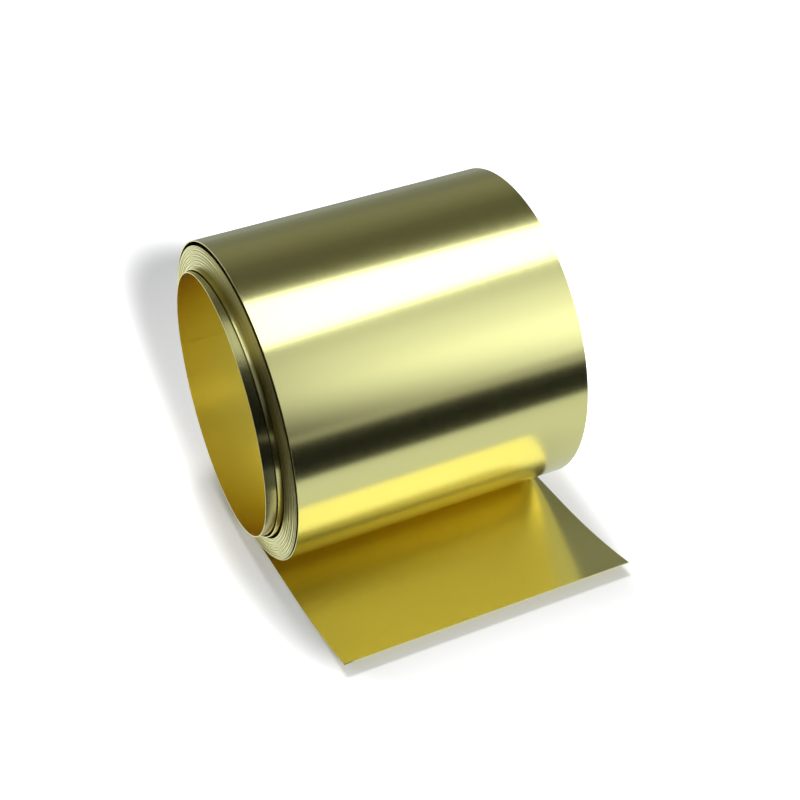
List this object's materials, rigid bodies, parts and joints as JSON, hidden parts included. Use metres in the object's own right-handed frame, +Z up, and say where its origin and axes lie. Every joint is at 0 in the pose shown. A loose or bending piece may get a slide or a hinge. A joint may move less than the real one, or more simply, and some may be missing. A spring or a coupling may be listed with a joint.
{
  "type": "brass strip coil",
  "caption": "Coil of thin bright brass strip lying on its side, its turns slipped out at one end, with the free end pulled out in front of it.",
  "frame": {"origin": "on the axis of the bore, at the middle of the outermost lap's width; the floor is 53.0 mm below", "axes": "+X along the bore's axis, towards the end that is dished; +Z up; the free end lies towards -Y"},
  "size_m": [0.1065, 0.1333, 0.1071],
  "materials": {
    "brass": "bright cold-rolled"
  },
  "bodies": {
    "root": {"brass_strip": "brass"}
  },
  "joints": []
}
